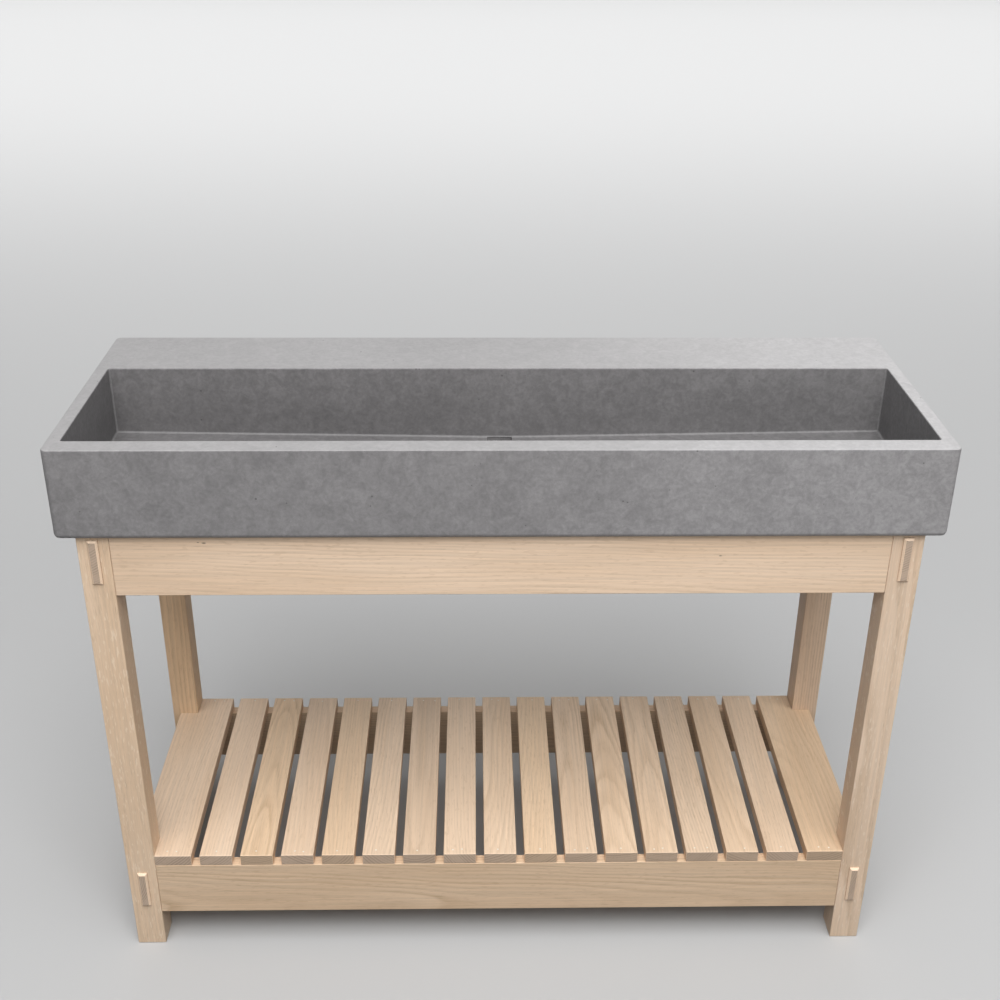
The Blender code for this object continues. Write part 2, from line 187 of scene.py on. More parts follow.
sky = bpy.data.worlds.new("pale_sky")
sky.use_nodes = True
sky_nodes, sky_links = sky.node_tree.nodes, sky.node_tree.links
dim_sky = sky_nodes["Background"]
dim_sky.inputs["Color"].default_value = (0.92, 0.96, 1.0, 1)
dim_sky.inputs["Strength"].default_value = 0.10
# What is seen beyond the floor's far edge is as pale as the floor, while the sky's light stays dim.
seen_sky = sky_nodes.new("ShaderNodeBackground")
seen_sky.inputs["Color"].default_value = (0.78, 0.79, 0.80, 1)
seen_or_lit = sky_nodes.new("ShaderNodeMixShader")
ray = sky_nodes.new("ShaderNodeLightPath")
sky_links.new(ray.outputs["Is Camera Ray"], seen_or_lit.inputs[0])
sky_links.new(dim_sky.outputs[0], seen_or_lit.inputs[1])
sky_links.new(seen_sky.outputs[0], seen_or_lit.inputs[2])
sky_links.new(seen_or_lit.outputs[0], sky_nodes["World Output"].inputs["Surface"])
bpy.context.scene.world = sky
bpy.context.scene.view_settings.view_transform = "Standard"
print("lights:", len(bpy.data.lights))

# %% [markdown]
# ## Tools for shaping a piece
# Every piece starts as a primitive at its real size and place. It is then shaped in edit mode:
# edges or faces are picked by where they are, and an operator works on what is picked. Cuts and
# joins are Boolean modifiers, applied as soon as they are made, so that a finished piece is one
# plain closed mesh with its object at the origin.

# %% Start a block, pick edges, round them
FIT = 0.0003  # the gap that a joiner's fit leaves
PAST_FACE = 0.01  # how far a cutter reaches past the faces it goes through
NEAR = 1e-5  # places closer than this count as the same


def start_alone():
    """Object mode with nothing selected."""
    if bpy.context.mode != "OBJECT":
        bpy.ops.object.mode_set(mode="OBJECT")
    bpy.ops.object.select_all(action="DESELECT")


def work_on(piece):
    start_alone()
    piece.select_set(True)
    bpy.context.view_layer.objects.active = piece


def named(name):
    """The primitive just added, renamed, with its place moved into its mesh."""
    piece = bpy.context.object
    piece.name = piece.data.name = name
    bpy.ops.object.transform_apply(location=True, rotation=True, scale=True)
    return piece


def add_block(name, low, high):
    start_alone()
    low, high = Vector(low), Vector(high)
    bpy.ops.mesh.primitive_cube_add(size=1, location=(low + high) / 2, scale=high - low)
    return named(name)


def add_round(name, radius, bottom, top, centre, sides=64):
    start_alone()
    place = (centre[0], centre[1], (bottom + top) / 2)
    bpy.ops.mesh.primitive_cylinder_add(
        vertices=sides, radius=radius, depth=top - bottom, location=place)
    return named(name)


def pick(piece, kind, test):
    """Edit mode with only the edges or faces that pass the test selected. Returns how many."""
    work_on(piece)
    bpy.ops.object.mode_set(mode="EDIT")
    bpy.ops.mesh.select_mode(type=kind)
    bpy.ops.mesh.select_all(action="DESELECT")
    shape = bmesh.from_edit_mesh(piece.data)
    shape.normal_update()
    found = [e for e in (shape.edges if kind == "EDGE" else shape.faces) if test(e)]
    for element in found:
        element.select_set(True)
    shape.select_flush_mode()
    bmesh.update_edit_mesh(piece.data)
    return len(found)


def middle_of(edge):
    return (edge.verts[0].co + edge.verts[1].co) / 2


def climb(edge):
    return abs(edge.verts[0].co.z - edge.verts[1].co.z)


def is_corner(edge):
    return edge.calc_face_angle(0) > 0.5


def round_edges(piece, radius, steps=3, test=lambda edge: True):
    """Rounds the edges that pass the test."""
    if pick(piece, "EDGE", test):
        bpy.ops.mesh.bevel(offset=radius, segments=steps, affect="EDGES")
    bpy.ops.object.mode_set(mode="OBJECT")


# %% Cut, join and finish
def combine(piece, other, operation):
    """A Boolean that is applied at once; the other mesh is then thrown away."""
    work_on(piece)
    step = piece.modifiers.new("combine", "BOOLEAN")
    step.operation, step.object, step.solver = operation, other, "EXACT"
    bpy.ops.object.modifier_apply(modifier=step.name)
    bpy.data.objects.remove(other, do_unlink=True)


def cut(piece, low, high):
    combine(piece, add_block("cutter", low, high), "DIFFERENCE")


def join(piece, low, high):
    combine(piece, add_block("joiner", low, high), "UNION")


def weld(piece, near=0.00002):
    """Closes the hair-thin slivers that Booleans leave. Returns how many edges are still open."""
    pick(piece, "FACE", lambda face: True)
    bpy.ops.mesh.remove_doubles(threshold=near)
    bpy.ops.mesh.dissolve_degenerate(threshold=near / 2)
    bpy.ops.mesh.select_all(action="DESELECT")
    shape = bmesh.from_edit_mesh(piece.data)
    open_edges = sum(not edge.is_manifold for edge in shape.edges)
    bpy.ops.object.mode_set(mode="OBJECT")
    return open_edges


def shade(piece, angle=35):
    """Smooth over rounded edges, flat on faces: each corner is weighted by its faces' areas."""
    work_on(piece)
    bpy.ops.object.shade_smooth_by_angle(angle=math.radians(angle))
    weights = piece.modifiers.new("flat_faces", "WEIGHTED_NORMAL")
    weights.keep_sharp = True
    bpy.ops.object.modifier_apply(modifier=weights.name)


def hand_over(piece, node, finish):
    """The piece takes the place of its CAD node and its finish."""
    piece.data.materials.clear()
    piece.data.materials.append(finish)
    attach(piece, "root")
    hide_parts(node)


print("shaping tools ready")

# %% [markdown]
# ## Oak
# Real boards differ because each is sawn from another part of a tree, so this finish is worked out
# as a tree would: rings round a heart line that lies somewhere off the board. The board's own place
# in the tree decides if its face shows straight lines, when the heart is off its edge, or pointed
# arches, when the heart is under its face. The ends then show the rings' arcs by themselves. Pores,
# rays and slow changes of tone are laid over the rings, all stretched along the grain.

# %% Small helpers for node trees
class Tree:
    """A node tree that is written as formulas: each call adds a node and returns its output."""

    def __init__(self, material):
        self.nodes, self.links = material.node_tree.nodes, material.node_tree.links

    def put(self, socket, value):
        if isinstance(value, bpy.types.NodeSocket):
            self.links.new(value, socket)
        else:
            socket.default_value = value

    def math(self, operation, a, b=0.0, c=0.0):
        node = self.nodes.new("ShaderNodeMath")
        node.operation = operation
        for socket, value in zip(node.inputs, (a, b, c)):
            self.put(socket, value)
        return node.outputs[0]

    def scaled(self, vector, scale):
        node = self.nodes.new("ShaderNodeVectorMath")
        node.operation = "MULTIPLY"
        self.put(node.inputs[0], vector)
        self.put(node.inputs[1], scale)
        return node.outputs[0]

    def parts(self, vector):
        node = self.nodes.new("ShaderNodeSeparateXYZ")
        self.put(node.inputs[0], vector)
        return node.outputs[0], node.outputs[1], node.outputs[2]

    def vector(self, x, y, z):
        node = self.nodes.new("ShaderNodeCombineXYZ")
        for socket, value in zip(node.inputs, (x, y, z)):
            self.put(socket, value)
        return node.outputs[0]

    def noise(self, vector, detail=2.0, roughness=0.5, scale=1.0, distortion=0.0):
        node = self.nodes.new("ShaderNodeTexNoise")
        self.put(node.inputs["Vector"], vector)
        self.put(node.inputs["Scale"], scale)
        self.put(node.inputs["Detail"], detail)
        self.put(node.inputs["Roughness"], roughness)
        self.put(node.inputs["Distortion"], distortion)
        return node.outputs["Fac"]

    def cells(self, vector, scale=1.0):
        node = self.nodes.new("ShaderNodeTexVoronoi")
        self.put(node.inputs["Vector"], vector)
        self.put(node.inputs["Scale"], scale)
        return node

    def ramp(self, value, stops):
        """stops are (place, grey) pairs."""
        node = self.nodes.new("ShaderNodeValToRGB")
        band = node.color_ramp.elements
        while len(band) < len(stops):
            band.new(0.5)
        for element, (place, grey) in zip(band, stops):
            element.position = place
            element.color = (grey, grey, grey, 1)
        self.put(node.inputs[0], value)
        return node.outputs[0]

    def spread(self, value, low, high, to_low=0.0, to_high=1.0):
        node = self.nodes.new("ShaderNodeMapRange")
        node.interpolation_type = "SMOOTHSTEP"
        for socket, number in zip(node.inputs, (value, low, high, to_low, to_high)):
            self.put(socket, number)
        return node.outputs[0]

    def product(self, *values):
        whole = values[0]
        for value in values[1:]:
            whole = self.math("MULTIPLY", whole, value)
        return whole

    def shaded(self, colour, shade_of):
        """A colour made darker or lighter by one number."""
        return self.mix(1.0, colour, self.vector(shade_of, shade_of, shade_of), "MULTIPLY")

    def mix(self, share, a, b, blend="MIX"):
        node = self.nodes.new("ShaderNodeMix")
        node.data_type, node.blend_type = "RGBA", blend
        self.put(node.inputs[0], share)
        for socket, value in zip((node.inputs[6], node.inputs[7]), (a, b)):
            self.put(socket, (*value, 1) if isinstance(value, tuple) and len(value) == 3 else value)
        return node.outputs[2]

    def bump(self, height, distance, strength=1.0):
        node = self.nodes.new("ShaderNodeBump")
        self.put(node.inputs["Strength"], strength)
        self.put(node.inputs["Distance"], distance)
        self.put(node.inputs["Height"], height)
        return node.outputs["Normal"]


def new_finish(name, roughness=0.5, metallic=0.0):
    material = bpy.data.materials.new(name)
    material.use_nodes = True
    shader = material.node_tree.nodes["Principled BSDF"]
    shader.inputs["Roughness"].default_value = roughness
    shader.inputs["Metallic"].default_value = metallic
    return material, shader, Tree(material)


# %% The oak recipe
QUARTER_SAWN = 0.4  # above this much fleck, a board is treated as quarter-sawn
# Each grain direction has the turn that brings it to the recipe's X axis and a face's width to Y.
GRAIN_TURNS = {"X": (math.pi / 2, 0, 0), "Y": (0, 0, -math.pi / 2), "Z": (0, math.pi / 2, 0)}
PALE, BROWN = Vector((0.790, 0.598, 0.430)), Vector((0.590, 0.405, 0.250))
TAWNY, RAY_PALE = Vector((0.690, 0.490, 0.322)), Vector((0.82, 0.67, 0.52))
PORE_DARK, END_GREY = Vector((0.330, 0.215, 0.125)), Vector((0.385, 0.290, 0.222))


def oak(name, centre, grain, heart, ring=0.0035, taper=0.01, wave=0.006, light=1.0, warm=0.0,
        figure=1.0, fleck=0.3, pore=1.0, knots=()):
    """Oak for one board. heart is (distance, angle): where the tree's heart lies, seen along the
    board, from under its face at 0 degrees to beside its edge at 90. ring is metres from ring to
    ring, wave how far the rings wander, light and warm the board's own tone, with light also
    carrying painted light and shade for where the board stands, figure and fleck how plainly
    rings and rays show, pore how dark the pores are."""
    material, shader, t = new_finish(name, roughness=0.6)
    place = t.nodes.new("ShaderNodeTexCoord")
    turned = t.nodes.new("ShaderNodeMapping")
    turn = Euler(GRAIN_TURNS[grain])
    turned.inputs["Rotation"].default_value = turn
    turned.inputs["Location"].default_value = -(turn.to_matrix() @ Vector(centre))
    t.put(turned.inputs["Vector"], place.outputs["Object"])
    board = turned.outputs[0]
    seed = random.Random(name)
    shift = [seed.uniform(-50, 50) for _ in range(3)]
    shifted = t.nodes.new("ShaderNodeMapping")
    shifted.inputs["Location"].default_value = shift
    t.put(shifted.inputs["Vector"], board)
    grown = shifted.outputs[0]

    def tone(colour):
        warmed = Vector((1 + 0.02 * warm, 1.0 - 0.01 * warm, 1 - 0.08 * warm))
        return tuple(light * a * b for a, b in zip(colour, warmed))

    # Distance from the heart, which slow and quick noise make uneven.
    along, across, deep = t.parts(board)
    distance, angle = heart[0], math.radians(heart[1])
    aside = t.math("SUBTRACT", across, distance * math.sin(angle))
    under = t.math("SUBTRACT", deep, distance * math.cos(angle))
    squares = t.math("ADD", t.product(aside, aside), t.product(under, under))
    from_heart = t.math("SQRT", squares)
    slow = t.noise(t.scaled(grown, (2.6, 9, 9)), detail=1.5, roughness=0.55)
    quick = t.noise(t.scaled(grown, (11, 55, 55)), detail=2.0, roughness=0.6)
    uneven = t.math("MULTIPLY_ADD", quick, 0.0022, t.math("MULTIPLY", slow, wave * 2))
    age = t.math("ADD", t.math("MULTIPLY_ADD", along, taper, from_heart), uneven)
    rings = t.math("DIVIDE", age, ring)
    in_ring = t.math("FRACT", rings)
    # Spring wood is open and darker, then the ring closes up slowly, turns pale and ends.
    spring = t.ramp(in_ring, [
        (0.0, 0.3), (0.08, 1.0), (0.22, 0.8), (0.50, 0.18), (0.80, 0.0), (0.95, 0.04), (1.0, 0.3)])
    late = t.ramp(in_ring, [(0.45, 0.0), (0.72, 1.0), (0.93, 0.7), (1.0, 0.0)])
    year_place = t.vector(t.product(rings, 0.43), t.product(along, 2.0), 0.0)
    year = t.noise(year_place, detail=1.0)
    strength = t.spread(year, 0.30, 0.70, 0.12, 1.0)

    # Pores: short dark dashes, thick in the spring wood.
    pore_noise = t.noise(t.scaled(grown, (42, 1500, 1500)), detail=1.0)
    open_wood = t.math("MULTIPLY_ADD", spring, 0.8, 0.2)
    pores = t.product(t.spread(pore_noise, 0.56, 0.72), open_wood)
    # Rays: ribbons from the heart outwards, lines on most faces and flecks on a quarter-sawn one.
    round_heart = t.math("MULTIPLY", t.math("ARCTAN2", aside, under), distance)
    ribbon = t.vector(
        t.math("MULTIPLY", t.math("ADD", along, shift[0]), 70),
        t.math("MULTIPLY_ADD", quick, 2.0, t.math("MULTIPLY", round_heart, 500)),
        t.math("MULTIPLY", from_heart, 90),
    )
    rays = t.spread(t.noise(ribbon, detail=1.0), 0.60, 0.70)
    fibre = t.noise(t.scaled(grown, (5, 330, 330)), detail=3.0, roughness=0.65)
    cloud = t.noise(t.scaled(grown, (2.6, 14, 14)), detail=2.5)

    colour = t.mix(t.product(spring, strength, 0.60 * figure), tone(PALE), tone(BROWN))
    colour = t.mix(t.product(late, strength, 0.42 * figure), colour, tone(PALE * 1.13))
    colour = t.mix(t.spread(cloud, 0.28, 0.76, 0.0, 0.62), colour, tone(TAWNY))
    colour = t.shaded(colour, t.spread(fibre, 0.25, 0.75, 0.92, 1.075))
    # On a quarter-sawn face the rays lie flat and shine; elsewhere they are thin dark lines.
    ray_colour = RAY_PALE * 1.08 if fleck > QUARTER_SAWN else BROWN * 0.95
    colour = t.mix(t.product(rays, fleck), colour, tone(ray_colour))
    colour = t.mix(t.math("MULTIPLY", pores, 0.42 * pore), colour, tone(PORE_DARK))

    # Ends drink in the light: greyer, pinker and darker.
    normal = t.nodes.new("ShaderNodeMapping")
    normal.vector_type = "NORMAL"
    normal.inputs["Rotation"].default_value = turn
    t.put(normal.inputs["Vector"], place.outputs["Normal"])
    lengthwise, _, _ = t.parts(normal.outputs[0])
    end = t.spread(t.math("ABSOLUTE", lengthwise), 0.80, 0.97)
    ends = t.mix(0.66, colour, tone(END_GREY))
    ends = t.mix(t.product(strength, 0.5, spring), ends, tone(END_GREY * 0.52))
    colour = t.mix(end, colour, ends)
    # Painted highlight: the slants between a face and an end are painted pale, as if they caught the
    # light.
    slant_highlight = t.spread(t.math("ABSOLUTE", lengthwise), 0.35, 0.60)
    slant_highlight = t.product(slant_highlight, t.math("SUBTRACT", 1.0, end))
    colour = t.mix(t.product(slant_highlight, 0.7), colour, tone(PALE * 1.16))

    for spot, size in knots:
        flat = (0.45, 1, 1) if grain == "X" else (1, 1, 0.45)
        away = t.nodes.new("ShaderNodeVectorMath")
        away.operation = "DISTANCE"
        t.put(away.inputs[0], t.scaled(place.outputs["Object"], flat))
        t.put(away.inputs[1], tuple(a * b for a, b in zip(spot, flat)))
        dark = t.spread(away.outputs["Value"], size * 0.4, size * 1.3, 0.75, 0.0)
        colour = t.mix(dark, colour, tone(PORE_DARK * 0.4))

    t.put(shader.inputs["Base Color"], colour)
    dull = t.spread(fibre, 0.2, 0.8, 0.50, 0.62)
    t.put(shader.inputs["Roughness"], t.math("MULTIPLY_ADD", pores, 0.2, dull))
    height = t.math("MULTIPLY_ADD", pores, -1.0, t.math("MULTIPLY", fibre, 0.6))
    t.put(shader.inputs["Normal"], t.bump(height, 0.00013, 0.7))
    return material


print("oak recipe ready")

# %% [markdown]
# ## Concrete, steel, chrome and rubber
# The sink is one pour of grey concrete. Its colour comes from cement that dried unevenly: wide soft
# clouds, smaller blotches inside them, fine sand, and a scatter of pinholes where air was caught
# against the mould. All of it is noise at four sizes on the piece's own coordinates, and the
# pinholes dent the surface as well. The metals are brushed or polished, with marks too fine to see
# one by one, which only their roughness needs.
# Painted light lies over that colour: the right end, the tops near the rim and the coves are painted
# paler, and the basin's inside and the pinholes darker.

# %% Sink sizes
SINK = {
    "side_wall": 0.01905, "front_wall": 0.03175, "deck": 0.1365,
    "edge": 0.008, "rim": 0.002, "cove": 0.0035,
    "under_channel": 0.014, "channel_width": 0.0381, "channel_depth": 0.005, "fall": 0.009,
    "deck_slab": 0.0286, "basin_back_wall": 0.0254, "rear_wall": 0.0254,
}
sink_low, sink_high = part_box("concrete_sink")
basin_low = Vector((sink_low.x + SINK["side_wall"], sink_low.y + SINK["front_wall"], 0))
basin_high = Vector((sink_high.x - SINK["side_wall"], sink_high.y - SINK["deck"], 0))
channel_floor = sink_low.z + SINK["under_channel"]
ramp_low = channel_floor + SINK["channel_depth"]
ramp_high = ramp_low + SINK["fall"]
drain_x, drain_y = 0.0, (basin_low.y + basin_high.y) / 2
BASIN_DEPTH = basin_high.y - basin_low.y
sink_top = sink_high.z
print("basin", round(basin_high.x - basin_low.x, 4), "by", round(BASIN_DEPTH, 4))


# %% Concrete
EDGE_OF_BASIN_SHADE = 0.0005  # how far past the basin's walls its painted shade reaches


def concrete(name):
    material, shader, t = new_finish(name, roughness=0.6)
    coordinates = t.nodes.new("ShaderNodeTexCoord")
    place = coordinates.outputs["Object"]
    clouds = t.noise(place, scale=7.0, detail=5.0, roughness=0.62, distortion=0.5)
    blotches = t.noise(place, scale=62.0, detail=6.0, roughness=0.68, distortion=0.7)
    mottle = t.noise(place, scale=190.0, detail=3.0, roughness=0.6)
    sand = t.noise(place, scale=900.0, detail=2.0, roughness=0.7)
    cells = t.cells(place, scale=105.0)
    air = t.spread(t.noise(place, scale=95.0, detail=0.0), 0.62, 0.9, 0.0, 0.16)
    pit = t.spread(t.math("SUBTRACT", cells.outputs["Distance"], air), 0.0, 0.05, 1.0, 0.0)

    # Painted light: the concrete is painted paler towards its right end, as if the light fell
    # stronger there.
    along, back_to_front, height = t.parts(place)
    aside, outwards, upwards = t.parts(coordinates.outputs["Normal"])
    colour = t.mix(t.spread(along, -0.15, 0.70), (0.240, 0.231, 0.233), (0.338, 0.327, 0.330))
    right_lit_base = colour
    for noise, low, high, dark, light in (
        (clouds, 0.3, 0.7, 0.93, 1.06), (blotches, 0.28, 0.74, 0.84, 1.15),
        (mottle, 0.25, 0.75, 0.91, 1.09), (sand, 0.2, 0.8, 0.96, 1.04),
    ):
        colour = t.shaded(colour, t.spread(noise, low, high, dark, light))

    # Painted light: faces that look up near the rim are painted paler, as the light from above falls
    # on them.
    near_top = t.spread(height, sink_top - 0.05, sink_top - 0.02)
    top = t.product(t.spread(upwards, 0.6, 0.98), near_top)
    painted_top_light = t.mix(1.0, t.mix(0.5, colour, right_lit_base), (1.60, 1.62, 1.61), "MULTIPLY")
    colour = t.mix(t.product(top, 0.9), colour, painted_top_light)

    # Painted shade: the inside of the basin is painted darker, most near its floor and towards its
    # right end, as shade falls in it.
    half_basin = Vector((basin_high.x + EDGE_OF_BASIN_SHADE, BASIN_DEPTH / 2 + EDGE_OF_BASIN_SHADE))
    from_side = t.math("SUBTRACT", half_basin.x, t.math("ABSOLUTE", along))
    from_middle = t.math("ABSOLUTE", t.math("SUBTRACT", back_to_front, drain_y))
    from_ends = t.math("SUBTRACT", half_basin.y, from_middle)
    from_rim = t.math("SUBTRACT", sink_top - 0.0015, height)
    inside = t.math("MINIMUM", t.math("MINIMUM", from_side, from_ends), from_rim)
    inside = t.spread(inside, 0.0, 0.0006)
    depth_shade = t.spread(height, sink_top - 0.09, sink_top - 0.01, 0.86, 1.10)
    basin_shade = t.product(t.spread(along, 0.0, 0.6, 0.80, 0.60), depth_shade)
    colour = t.mix(inside, colour, t.shaded(colour, basin_shade))

    # Painted highlight: its coves, the only places in it where a face turns, are painted a little
    # paler, as if they caught the light.
    squarest = t.math("MAXIMUM", t.math("ABSOLUTE", aside), t.math("ABSOLUTE", outwards))
    squarest = t.math("MAXIMUM", squarest, t.math("ABSOLUTE", upwards))
    cove_highlight = t.spread(squarest, 0.90, 0.995, 1.0, 0.0)
    colour = t.mix(t.product(cove_highlight, inside, 0.12), colour, (0.52, 0.515, 0.512))
    # Painted shade: the pinholes are painted nearly black, for the shade inside them.
    colour = t.mix(t.product(pit, 0.6), colour, (0.06, 0.058, 0.056))
    t.put(shader.inputs["Base Color"], colour)
    t.put(shader.inputs["Roughness"], t.spread(blotches, 0.2, 0.8, 0.54, 0.70))
    rise = t.math("MULTIPLY_ADD", mottle, 0.5, t.math("MULTIPLY", sand, 0.25))
    t.put(shader.inputs["Normal"], t.bump(t.math("MULTIPLY_ADD", pit, -1.4, rise), 0.0003, 0.5))
    return material


# %% Metals and rubber
def metal(name, colour, roughness, marks, stretch, bare=1.0):
    """Metal, or paint on it when bare is 0. marks is how much the roughness varies, stretch how the
    marks run."""
    material, shader, t = new_finish(name, roughness, bare)
    place = t.nodes.new("ShaderNodeTexCoord").outputs["Object"]
    lines = t.noise(t.scaled(place, stretch), detail=3.0)
    smear = t.noise(place, scale=60.0, detail=3.0)
    rough = t.math("MULTIPLY_ADD", lines, marks, t.math("MULTIPLY", smear, marks))
    t.put(shader.inputs["Roughness"], t.math("ADD", rough, roughness - marks))
    tint = t.spread(smear, 0.2, 0.8, 0.92, 1.04)
    t.put(shader.inputs["Base Color"], t.shaded(colour, tint))
    t.put(shader.inputs["Normal"], t.bump(lines, 0.00003, 0.25))
    return material


def rubber(name):
    material, shader, t = new_finish(name, 0.75)
    place = t.nodes.new("ShaderNodeTexCoord").outputs["Object"]
    bloom = t.noise(place, scale=240.0, detail=4.0)
    t.put(shader.inputs["Base Color"], t.mix(bloom, (0.018, 0.018, 0.019), (0.045, 0.044, 0.043)))
    t.put(shader.inputs["Roughness"], t.spread(bloom, 0.2, 0.8, 0.65, 0.85))
    t.put(shader.inputs["Normal"], t.bump(bloom, 0.0001, 0.4))
    return material


SINK_CONCRETE = concrete("sink_concrete")
BRUSHED_STEEL = metal("brushed_steel", (0.62, 0.62, 0.61), 0.30, 0.10, (900, 900, 40))
TAIL_CHROME = metal("polished_chrome", (0.78, 0.78, 0.79), 0.12, 0.04, (300, 300, 20))
GASKET_RUBBER = rubber("gasket_rubber")
BRAD_PAINT = metal("brad_paint", (0.86, 0.79, 0.70), 0.5, 0.10, (2000, 2000, 2000), bare=0.0)
print("finishes ready")

# %% [markdown]
# ## Legs
# Four square legs hold everything. Each is one block with its long edges rounded as a block plane
# leaves them. Two slots go right through for the side rails' tenons, and two blind ones take the
# stub tenons of the long boards. The slots could be modelled face by face with insets, but cutting
# a slightly larger block out is how the joiner's chisel works too, and it keeps a fine dark line
# round each tenon.

# %% Legs
ROUND_OVER = 0.0012
STUB = {"thick": 0.0095, "shoulder": 0.0127}

TENON_THICK = 0.015
# How far each tenon stays from its rail's bottom and top edges.
TENON_SHOULDERS = {"upper": (0.01905, 0.00635), "lower": (0.0143, 0.0143)}

LEG_NAMES = ("leg_front_left", "leg_front_right", "leg_rear_left", "leg_rear_right")
SIDE_NAMES = (
    "upper_side_rail_left", "upper_side_rail_right",
    "lower_side_rail_left", "lower_side_rail_right",
)
LONG_NAMES = ("front_apron", "rear_apron", "front_lower_rail", "rear_lower_rail")
legs, side_rails, long_boards = (
    {name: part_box(name) for name in names} for names in (LEG_NAMES, SIDE_NAMES, LONG_NAMES)
)


def tenon_bar(name):
    """The box of the bar that passes through a side rail and both its legs."""
    low, high = (corner.copy() for corner in side_rails[name])
    below, above = TENON_SHOULDERS[name.split("_")[0]]
    middle = (low.x + high.x) / 2
    low.x, high.x = middle - TENON_THICK / 2, middle + TENON_THICK / 2
    low.z, high.z = low.z + below, high.z - above
    return low, high


def stub_bar(name):
    """The box of the bar that passes through a long board and ends in its stub tenons."""
    low, high = (corner.copy() for corner in long_boards[name])
    middle = (low.y + high.y) / 2
    low.y, high.y = middle - STUB["thick"] / 2, middle + STUB["thick"] / 2
    low.z, high.z = low.z + STUB["shoulder"], high.z - STUB["shoulder"]
    return low, high


# Painted shade: the rear legs get lower light numbers than the front ones, for the sink's shade on
# them; beyond that the numbers are each leg's own tone.
LEG_TREES = {
    "leg_front_left": dict(heart=(0.16, 88), ring=0.0042, light=1.08, fleck=0.6),
    "leg_front_right": dict(heart=(0.12, 80), ring=0.0040, light=1.06, fleck=0.5, warm=-0.6),
    "leg_rear_left": dict(heart=(0.14, 60), light=1.02, warm=1.2),
    "leg_rear_right": dict(heart=(0.15, 40), light=1.03, warm=-0.8),
}
for name, (low, high) in legs.items():
    leg = add_block(name + "_oak", low, high)
    round_edges(leg, ROUND_OVER)
    side, front = name.split("_")[2], name.split("_")[1]
    for rail in side_rails:
        if rail.endswith(side):
            bar_low, bar_high = tenon_bar(rail)
            grow = Vector((FIT, PAST_FACE, FIT))
            cut(leg, bar_low - grow, bar_high + grow)
    for board in long_boards:
        if board.startswith(front):
            bar_low, bar_high = stub_bar(board)
            grow = Vector((FIT, FIT, FIT))
            # Only the end of the bar that enters this leg, and a little of the air beside it.
            bar_low, bar_high = bar_low - grow, bar_high + grow
            if side == "left":
                bar_high.x = high.x + PAST_FACE
            else:
                bar_low.x = low.x - PAST_FACE
            cut(leg, bar_low, bar_high)
    shade(leg)
    hand_over(leg, name, oak("oak_" + name, (low + high) / 2, "Z", **LEG_TREES[name]))
    print(name, len(leg.data.polygons), "faces")

# %% [markdown]
# ## Aprons and lower rails
# The long boards run between the legs, flush with their outer faces. Each gets square shoulders and
# a thinner stub tenon at both ends. A stub could be extruded from an inset end face, but a bar
# through the whole board, joined to it, gives both ends at once and keeps them in line.

# %% Long boards
apron_low, apron_high = long_boards["front_apron"]
# Each pin knot: how far right of the middle, how far below the top edge, and how wide.
PIN_KNOTS = ((-0.410, 0.0118, 0.0014), (-0.418, 0.0108, 0.0008), (0.302, 0.0343, 0.0010))
# Painted light and shade: the rear boards and the lower rails get lower light numbers, for the shade
# that falls on them, and the front apron a higher one, for the light on it; beyond that they are
# each board's own tone.
BOARD_TREES = {
    "front_apron": dict(
        heart=(0.13, 48), ring=0.0044, taper=0.024, wave=0.010,
        light=1.15, warm=-0.5, pore=0.55, figure=0.8,
        knots=[((x, apron_low.y, apron_high.z - below), size) for x, below, size in PIN_KNOTS],
    ),
    "rear_apron": dict(heart=(0.12, 50), taper=0.02, light=0.93, warm=0.4),
    "front_lower_rail": dict(
        heart=(0.085, 26), ring=0.0042, taper=0.035, wave=0.012, light=0.97, warm=0.4, figure=1.15),
    "rear_lower_rail": dict(heart=(0.1, 35), taper=0.02, light=0.86, warm=0.5),
}
leg_inner = legs["leg_front_right"][0].x
for name, (low, high) in long_boards.items():
    half = leg_inner - FIT
    board = add_block(name + "_oak", (-half, low.y, low.z), (half, high.y, high.z))
    round_edges(board, ROUND_OVER)
    join(board, *stub_bar(name))
    shade(board)
    finish = oak("oak_" + name, (low + high) / 2, "X", **BOARD_TREES[name])
    hand_over(board, name, finish)
    print(name, len(board.data.polygons), "faces")

# %% [markdown]
# ## Side rails
# Each side rail is hidden behind the front leg, but its tenon passes right through and stands a few
# millimetres proud, with its four end edges cut back at a slant so that the end catches the light
# like a small framed panel. That slant is a bevel with one segment, and the rail's own long edges
# are rounded.

# %% Side rails with through tenons
TENON_SLANT, SANDED = 0.003, 0.0004
leg_front_back = legs["leg_front_left"][1].y
leg_rear_front = legs["leg_rear_left"][0].y
for name, (low, high) in side_rails.items():
    rail_low, rail_high = low.copy(), high.copy()
    rail_low.y, rail_high.y = leg_front_back + FIT, leg_rear_front - FIT
    rail = add_block(name + "_oak", rail_low, rail_high)
    round_edges(rail, ROUND_OVER)
    bar_low, bar_high = tenon_bar(name)
    bar = add_block("tenon_bar", bar_low, bar_high)
    round_edges(bar, TENON_SLANT, 1, lambda edge: abs(middle_of(edge).y - bar_low.y) < 1e-4)
    # Take the slant's new corners off a hair, as sandpaper does.
    slant_end = bar_low.y + TENON_SLANT * 1.1
    round_edges(bar, SANDED, 2, lambda edge: middle_of(edge).y < slant_end and is_corner(edge))
    combine(rail, bar, "UNION")
    shade(rail)
    heart = (0.12, 30 if "upper" in name else 65)
    finish = oak("oak_" + name, (low + high) / 2, "Y", heart, light=1.10, warm=-0.4)
    hand_over(rail, name, finish)
    print(name, len(rail.data.polygons), "faces")

